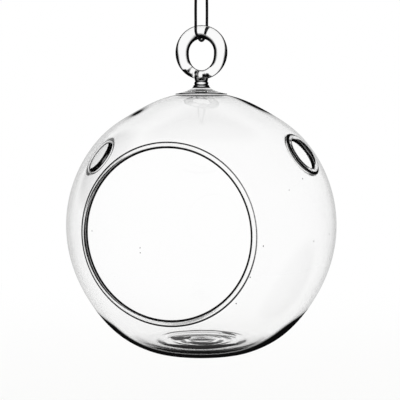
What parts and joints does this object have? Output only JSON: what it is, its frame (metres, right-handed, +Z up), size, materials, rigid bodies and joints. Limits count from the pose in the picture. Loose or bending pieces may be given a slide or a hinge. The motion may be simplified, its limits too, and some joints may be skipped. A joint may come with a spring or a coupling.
{
  "type": "hanging glass globe planter",
  "caption": "Clear blown-glass globe planter with a round front mouth, small side holes, a flat foot and a glass ring, hung on a thin doubled cord.",
  "frame": {"origin": "the point under the top of the hanging loop where a hook bears", "axes": "+Z up along the hanging line, the round front mouth faces -Y, the side holes face -X and +X"},
  "size_m": [0.15, 0.1364, 0.2516],
  "materials": {
    "clear_glass": "clear, fire polished",
    "black_cord": "matt black twisted cord"
  },
  "bodies": {
    "loop": {"cord_loop": "black_cord"},
    "knot": {"cord_knot": "black_cord"},
    "strands": {"cord_strands": "black_cord"},
    "planter": {"glass_globe": "clear_glass", "crown": "clear_glass", "stem": "clear_glass", "hanging_ring": "clear_glass"}
  },
  "joints": [
    {"name": "cord_twist", "type": "hinge", "parent": "loop", "child": "knot", "pos_m": [0, 0, -0.02205], "axis": [0, 0, 1], "range_deg": [-180, 180]},
    {"name": "fore_aft_swing", "type": "hinge", "parent": "knot", "child": "strands", "pos_m": [0, 0, -0.02985], "axis": [1, 0, 0], "range_deg": [-35, 35]},
    {"name": "side_sway", "type": "hinge", "parent": "strands", "child": "planter", "pos_m": [0, 0, -0.08655], "axis": [0, 1, 0], "range_deg": [-60, 60]}
  ]
}
